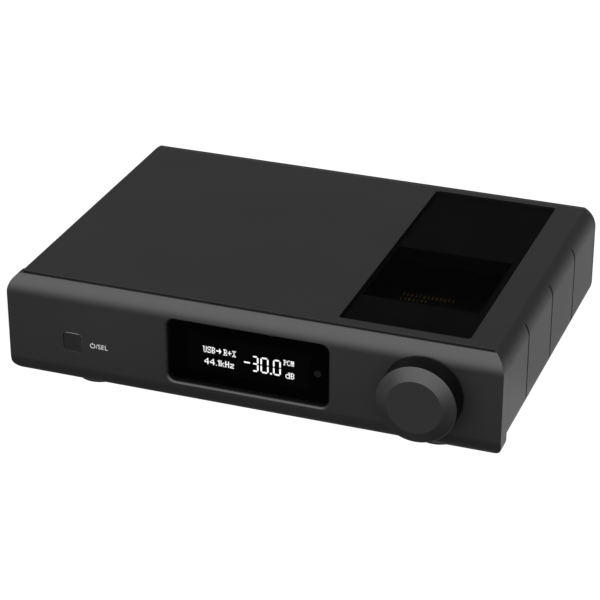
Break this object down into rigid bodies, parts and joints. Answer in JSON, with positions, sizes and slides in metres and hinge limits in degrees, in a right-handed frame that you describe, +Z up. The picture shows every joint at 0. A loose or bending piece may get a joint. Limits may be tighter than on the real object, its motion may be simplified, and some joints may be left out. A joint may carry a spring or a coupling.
{
  "type": "desktop dac",
  "caption": "Low black aluminium desktop DAC with a display lens, volume knob, push button, flush glass top window, grooved sides and rear sockets, on four feet.",
  "frame": {"origin": "middle of the overall footprint, on the plane that the feet rest on", "axes": "+X to the right along the front, +Y from the front panel to the rear panel, +Z up"},
  "size_m": [0.222, 0.1766, 0.053],
  "materials": {
    "case_metal": "fine bead-blasted, black anodised",
    "knob_metal": "turned, black anodised, satin",
    "black_plastic": "fine moulded grain",
    "button_plastic": "smooth matt black",
    "foot_rubber": "matt",
    "smoked_glass": "polished, black printed border",
    "lens": "polished black lens",
    "screen": "display glass with white segments",
    "circuit_board": "black solder mask",
    "bright_metal": "nickel plated",
    "gold_metal": "gold plated",
    "brass": "plain",
    "winding": "taped copper winding",
    "capacitor": "sleeved aluminium can",
    "ribbon": "flat lead"
  },
  "bodies": {
    "case": {"front_panel": "case_metal", "top_cover": "case_metal", "bottom_plate": "case_metal", "rear_panel": "case_metal", "window_bracket": "black_plastic", "top_window": "smoked_glass", "display_window": "lens", "display_module": "screen", "infrared_receiver": "black_plastic", "power_switch": "bright_metal", "encoder_bush": "bright_metal", "encoder_nut": "bright_metal", "encoder_body": "black_plastic", "front_board": "circuit_board", "main_board": "circuit_board", "ladder_board": "circuit_board", "ladder_header": "black_plastic", "front_ribbon": "ribbon", "transformer": "winding", "control_chip": "black_plastic", "mains_inlet": "black_plastic", "rocker_frame": "black_plastic", "usb_socket": "bright_metal", "optical_socket": "black_plastic", "digital_socket": "bright_metal", "coax_socket": "gold_metal", "antenna_socket": "gold_metal", "trigger_in": "black_plastic", "trigger_out": "black_plastic", "balanced_in": "bright_metal", "balanced_out_left": "bright_metal", "balanced_out_right": "bright_metal", "line_out_left": "gold_metal", "line_out_right": "gold_metal", "board_standoff_1": "brass", "filter_capacitor_1": "capacitor", "board_standoff_2": "brass", "filter_capacitor_2": "capacitor", "board_standoff_3": "brass", "filter_capacitor_3": "capacitor", "board_standoff_4": "brass", "filter_capacitor_4": "capacitor", "ladder_pillar_1": "brass", "ladder_pillar_2": "brass", "foot_front_left": "black_plastic", "foot_pad_front_left": "foot_rubber", "foot_front_right": "black_plastic", "foot_pad_front_right": "foot_rubber", "foot_rear_left": "black_plastic", "foot_pad_rear_left": "foot_rubber", "foot_rear_right": "black_plastic", "foot_pad_rear_right": "foot_rubber"},
    "knob": {"volume_knob": "knob_metal", "knob_set_screw": "bright_metal", "encoder_shaft": "bright_metal"},
    "knob_carrier": {"encoder_push_plate": "bright_metal"},
    "button": {"power_button": "button_plastic", "switch_plunger": "black_plastic"},
    "rocker": {"power_rocker": "black_plastic"}
  },
  "joints": [
    {"name": "knob_push", "type": "slide", "parent": "case", "child": "knob_carrier", "axis": [0, 1, 0], "range_m": [0, 0.0005], "stiffness_N_per_m": 4000, "springref_m": -0.0005},
    {"name": "knob_turn", "type": "hinge", "parent": "knob_carrier", "child": "knob", "pos_m": [0.0776, -0.07515, 0.0313], "axis": [0, 1, 0], "continuous": true},
    {"name": "button_push", "type": "slide", "parent": "case", "child": "button", "axis": [0, 1, 0], "range_m": [0, 0.0005], "stiffness_N_per_m": 3000, "springref_m": -0.0004},
    {"name": "rocker_tilt", "type": "hinge", "parent": "case", "child": "rocker", "pos_m": [-0.061, 0.07985, 0.032], "axis": [1, 0, 0], "range_deg": [-24, 0]}
  ]
}
